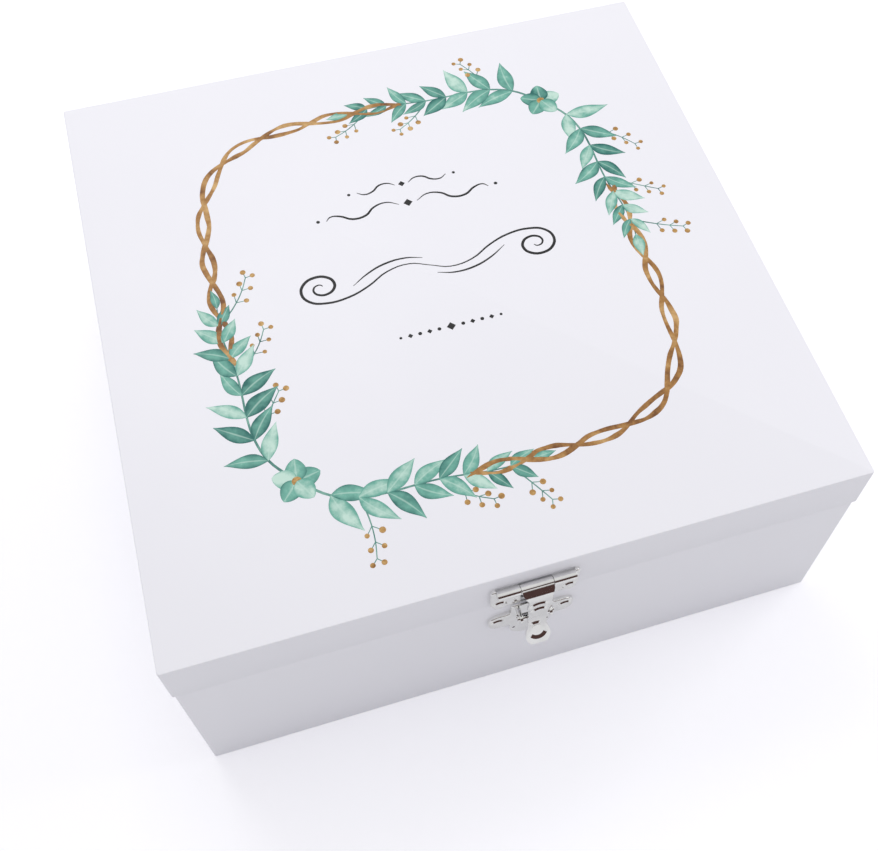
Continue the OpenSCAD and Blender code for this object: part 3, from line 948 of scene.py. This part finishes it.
def laid(pattern, place, turn, length, width, order, shade):
    """A copy of a leaf or petal laid on the lid; order lifts it over those before it."""
    lowest, levels, apart = 0.01 * mm, 40, 0.0008 * mm
    twin = copy_of(pattern, "laid")
    twin.scale = (length, width, 1)
    twin.rotation_euler = (0, 0, turn)
    twin.location = (place[0], place[1], INK_MID + lowest + order % levels * apart)
    settle(twin)
    body = twin.modifiers.new("body", "SOLIDIFY")
    body.thickness = INK_BODY
    body.offset = -1
    bpy.ops.object.modifier_apply(modifier=body.name)
    tone = twin.data.attributes.new("shade", "FLOAT", "POINT")
    tone.data.foreach_set("value", [shade] * len(twin.data.vertices))
    return twin


def dot(place, radius, sides=14):
    """A painted dot; with four sides, a diamond."""
    start_clean()
    bpy.ops.mesh.primitive_cylinder_add(
        vertices=sides, radius=radius, depth=INK_BODY,
        location=(place[0], place[1], INK_MID - 0.005 * mm))
    spot = bpy.context.object
    settle(spot)
    return spot


def twisted_border(gold, draw):
    """Two golden-brown strands twisted about each other along the outline, in two runs."""
    twists, swing, point_every = 15, 2.5 * mm, 2.4
    strands = []
    for start, stop in ((82, 196), (262, 376)):
        count = int((stop - start) / point_every)
        for side in (0, 1):
            points = []
            for step in range(count + 1):
                angle = start + (stop - start) * step / count
                wave = math.sin(math.radians(angle * twists) + math.pi * side)
                points.append(rim_point(angle, swing * wave + draw.uniform(-0.2, 0.2) * mm))
            widths = [draw.uniform(1.5, 2.5) * mm for _ in points]
            widths[0] = widths[-1] = 0.5 * mm
            strands.append(stroke(points, widths, side * 0.008 * mm))
    return join(strands, "lid_print_border")


class Spray:
    """Gathers the leaves, stems and buds of the leaf sprays while they are laid."""

    def __init__(self, draw):
        self.draw = draw
        self.slim = [leaf(f"slim_{number}", 1.15, droop) for number, droop in enumerate((-0.5, 0, 0.5))]
        self.leaves = []
        self.stems = []
        self.buds = []

    def add_leaf(self, place, turn, length):
        """One of the three leaf patterns, near the length asked for."""
        draw = self.draw
        size = length * draw.uniform(0.9, 1.12)
        pattern = draw.choice(self.slim)
        self.leaves.append(laid(
            pattern, place, turn, size, size * draw.uniform(0.36, 0.46), len(self.leaves), draw.random()))

    def twig(self, place, turn, length):
        """A thin side twig with golden buds."""
        bend = self.draw.uniform(-0.35, 0.35)
        points = []
        for step in range(5):
            heading = turn + bend * step / 4
            points.append(place + one_toward(heading) * length * step / 4)
        self.stems.append(stroke(points, (0.7 * mm, 0.6 * mm, 0.5 * mm, 0.45 * mm, 0.4 * mm)))
        for step in (2, 3, 4):
            for side in (-1, 1):
                heading = turn + bend * step / 4 + side * 0.8
                foot = points[step]
                tip = foot + one_toward(heading) * (5.4 - step * 0.6) * mm
                self.stems.append(stroke((foot, (foot + tip) / 2, tip), (0.4 * mm, 0.35 * mm, 0.3 * mm)))
                self.buds.append(dot(tip, self.draw.uniform(0.9, 1.3) * mm))

    def run(self, start, way, nodes):
        """Leaf pairs along the outline from one angle, getting smaller to a last leaf."""
        step_angle, waver = 5.4, 1.2 * mm
        points = [rim_point(start + way * step_angle * step, waver * math.sin(step))
                  for step in range(nodes + 1)]
        widths = [(1.1 - 0.6 * step / nodes) * mm for step in range(nodes + 1)]
        self.stems.append(stroke(points, widths))
        for step in range(1, nodes + 1):
            ahead = points[step] - points[step - 1]
            heading = math.atan2(ahead.y, ahead.x)
            length = (19 - 8.5 * step / nodes) * mm
            if step == nodes:
                self.add_leaf(points[step], heading, length)
                continue
            for side in (-1, 1):
                self.add_leaf(points[step], heading + side * self.draw.uniform(0.55, 0.85), length)
            if step % 3 == 2:
                heading += self.draw.choice((-1, 1)) * 0.95
                self.twig(points[step], heading, self.draw.uniform(20, 26) * mm)


def rosette(centre, petal, size, draw):
    """Five round petals about the centre, where the caller lays a golden middle."""
    petals = []
    for number in range(5):
        turn = math.radians(72 * number + 12)
        petals.append(laid(petal, centre, turn, size, size * 0.86, 41 + number * 3, draw.random()))
    return petals


def scroll_half():
    """Half of the long scroll, in millimetres: a spiral that runs out into a wave."""
    points = []
    for step in range(15):
        turn = math.radians(270 - (14 - step) * 42)
        reach = 1 + 0.5 * step
        points.append((-46 + reach * math.cos(turn) * 1.2, 1 + reach * math.sin(turn)))
    points += [(-36, -6.6), (-27, -3.4), (-18, 1.6), (-8, 3), (0, 0)]
    return points


def pen_work():
    """Black pen ornament: two short lines, a long scroll and a row of dots, all in millimetres."""
    scroll_y, upper_y, lower_y, row_y = 6, 52, 41, -26
    hook = [(-33, -1.6), (-26, 2.8), (-18, 5.8), (-9, 6.4), (-2, 4.6)]
    upper = [(3, 0), (6, 1.9), (10, 1.6), (13, -0.8), (17, -1.6), (20, 0.2)]
    lower = [(4, 0), (9, 2.6), (15, 1.4), (19, -1.9), (25, -2.4), (30, 0.6), (34, 1.2), (36, -0.6)]
    dots = (
        (0, upper_y, 1.5, 4), (0, lower_y, 2, 4), (0, row_y, 1.9, 4),
        (23.5, upper_y, 0.7, 14), (39.5, lower_y, 0.8, 14),
        (5, row_y, 0.8, 14), (9, row_y, 1.1, 4), (13, row_y, 0.8, 14), (17, row_y, 1.1, 4),
        (21, row_y, 0.6, 14),
    )
    marks = []

    def pair(points, thin, thick, middle, turned):
        """A stroke and its twin: turned half round its middle, or else mirrored left to right."""
        widths = [width * mm for width in tapered(len(points), thick, thin)]
        for sign in (1, -1):
            rise = sign if turned else 1
            marks.append(stroke([(sign * x * mm, (middle + rise * y) * mm) for x, y in points], widths))

    pair(scroll_half(), 0.4, 1.3, scroll_y, turned=True)
    pair(hook, 0.25, 0.95, scroll_y, turned=True)
    pair(upper, 0.3, 0.9, upper_y, turned=False)
    pair(lower, 0.3, 1.1, lower_y, turned=False)
    for x, y, size, sides in dots:
        for sign in ((1, -1) if x else (1,)):
            marks.append(dot((sign * x * mm, y * mm), size * mm, sides))
    return join(marks, "lid_print_pen_work")


def lid_print(teal, stem_green, gold, bud_gold, ink):
    """The painted print: border, two sprays, two rosettes and the pen work."""
    draw = random.Random(11)
    border = twisted_border(gold, draw)
    spray = Spray(draw)
    petal = leaf("petal", 0.62, 0)
    petals = []
    for corner in (47, 227):
        for way in (1, -1):
            spray.run(corner + way * 2, way, 9)
        centre = rim_point(corner)
        petals += rosette(centre, petal, 9.5 * mm, draw)
        spray.buds.append(dot(centre, 1.9 * mm, 18))
    pieces = (
        (border, gold),
        (join(spray.stems, "lid_print_stems"), stem_green),
        (join(spray.leaves + petals, "lid_print_leaves"), teal),
        (join(spray.buds, "lid_print_buds"), bud_gold),
        (pen_work(), ink),
    )
    for piece, wash in pieces:
        smooth(piece, 40)
        finish(piece, "lid", wash, "lid_paint")
    for pattern in spray.slim + [petal]:
        bpy.data.objects.remove(pattern, do_unlink=True)


# ---------- studio ----------

def camera():
    """The camera stands where the photograph was taken from, as solved from the box's edges."""
    start_clean()
    bpy.ops.object.camera_add(location=(-0.07277, -0.28613, 0.50789))
    cam = bpy.context.object
    cam.name = "camera"
    cam.rotation_euler = (math.radians(31.928), math.radians(-1.510), math.radians(-17.341))
    cam.data.sensor_width = 36
    cam.data.lens = 48.888
    cam.data.shift_x = -0.06657
    cam.data.shift_y = -0.05992
    cam.data.clip_start = 0.01
    cam.data.clip_end = 20
    bpy.context.scene.camera = cam


def table():
    """A white table that shows the box's soft shadow."""
    start_clean()
    bpy.ops.mesh.primitive_plane_add(size=6, location=(0, 0, 0))
    top = bpy.context.object
    top.name = "table"
    white = Recipe("table_white")
    place = white.place()
    tones = [(0.3, (0.895, 0.895, 0.92)), (0.7, (0.91, 0.91, 0.935))]
    white.join(white.shades(white.noise(place, 5, 2), tones), white.shader.inputs["Base Color"])
    white.shader.inputs["Roughness"].default_value = 0.9
    white.shader.inputs["Specular IOR Level"].default_value = 0
    glow = white.node("ShaderNodeEmission")
    glow.inputs["Color"].default_value = (0.94, 0.92, 1, 1)
    seen = white.node("ShaderNodeLightPath").outputs["Is Camera Ray"]
    white.join(white.sums("MULTIPLY", seen, 0.25), glow.inputs["Strength"])
    both = white.node("ShaderNodeAddShader")
    white.join(white.shader.outputs[0], both.inputs[0])
    white.join(glow.outputs[0], both.inputs[1])
    white.join(both.outputs[0], white.tree.nodes["Material Output"].inputs[0])
    top.data.materials.append(white.material)


def room_light():
    """A bright room with one dim band in front, which only reflections show; white to the camera."""
    world = bpy.data.worlds.new("studio")
    bpy.context.scene.world = world
    world.use_nodes = True
    room = Nodes(world.node_tree)
    sky = room.tree.nodes["Background"]
    where = room.node("ShaderNodeTexCoord").outputs["Generated"]

    split = room.node("ShaderNodeSeparateXYZ")
    room.join(where, split.inputs[0])
    brighter_up = room.span(split.outputs["Z"], 0.54, 0.785)

    wide = room.node("ShaderNodeVectorMath", operation="MULTIPLY")
    wide.inputs[1].default_value = (0.05, 1, 1)
    room.join(where, wide.inputs[0])
    level = room.node("ShaderNodeVectorMath", operation="NORMALIZE")
    room.join(wide.outputs["Vector"], level.inputs[0])
    toward = room.node("ShaderNodeVectorMath", operation="DOT_PRODUCT")
    toward.inputs[1].default_value = Vector((0, -0.96, 0.28)).normalized()
    room.join(level.outputs["Vector"], toward.inputs[0])
    band = room.node("ShaderNodeMapRange", interpolation_type="SMOOTHSTEP")
    band.inputs["From Min"].default_value = 0.85
    band.inputs["From Max"].default_value = 0.93
    room.join(toward.outputs["Value"], band.inputs["Value"])

    seen = room.node("ShaderNodeLightPath")
    reflected = room.sums("MULTIPLY", band.outputs["Result"], seen.outputs["Is Glossy Ray"])
    colour = room.mix(reflected, brighter_up, (0.075, 0.04, 0.037))
    colour = room.mix(seen.outputs["Is Camera Ray"], colour, (1, 1, 1))
    room.join(colour, sky.inputs["Color"])
    sky.inputs["Strength"].default_value = 1


def softbox(name, place, width, depth, power):
    """A rectangular lamp that faces the box."""
    start_clean()
    bpy.ops.object.light_add(type="AREA", location=place)
    lamp = bpy.context.object
    lamp.name = name
    lamp.data.shape = "RECTANGLE"
    lamp.data.size = width
    lamp.data.size_y = depth
    lamp.data.energy = power
    aim = Vector((0, 0, 0.05)) - Vector(place)
    lamp.rotation_euler = aim.to_track_quat("-Z", "Y").to_euler()


def studio():
    """The camera, the table, the room's light and two lamps."""
    bpy.context.scene.view_settings.view_transform = "Standard"
    camera()
    table()
    room_light()
    softbox("back_softbox", (-0.15, 0.5, 0.85), 0.6, 0.5, 2)
    softbox("side_softbox", (1.4, 0.1, 0.8), 1.0, 1.0, 6.6)


# ---------- making it ----------

board_white = ((0.875, 0.868, 0.925), (0.862, 0.855, 0.915))
bottom_white = ((0.86, 0.852, 0.9), (0.845, 0.838, 0.885))
base_paint = satin_paint("base_paint", *board_white)
lid_paint = satin_paint("lid_paint", *board_white)
bottom_paint = satin_paint("bottom_paint", *bottom_white)
plating = bright_plating("clasp_plating")
leaf_steel = drawn_steel("hinge_steel", (0.74, 0.74, 0.75), 0.2, 0.32)
rod_steel = drawn_steel("pin_steel", (0.66, 0.66, 0.68), 0.24, 0.36)
teal = leaf_wash("leaf_wash", (196, 226, 214), (112, 176, 160), (34, 104, 98))
stem_green = brush_wash("stem_wash", (128, 176, 162), (84, 138, 128), (50, 98, 94), 90)
gold = brush_wash("border_wash", (205, 165, 110), (168, 122, 68), (116, 74, 38), 130)
bud_gold = brush_wash("bud_wash", (214, 178, 120), (182, 138, 78), (138, 96, 48), 300)
ink = brush_wash("pen_ink", (44, 44, 46), (30, 30, 32), (20, 20, 22), 200)

tray_walls(base_paint)
bottom_board(bottom_paint)
lid_rails(lid_paint)
lid_panel(lid_paint)
hinges(leaf_steel, rod_steel)
clasp(plating)
lid_print(teal, stem_green, gold, bud_gold, ink)
studio()
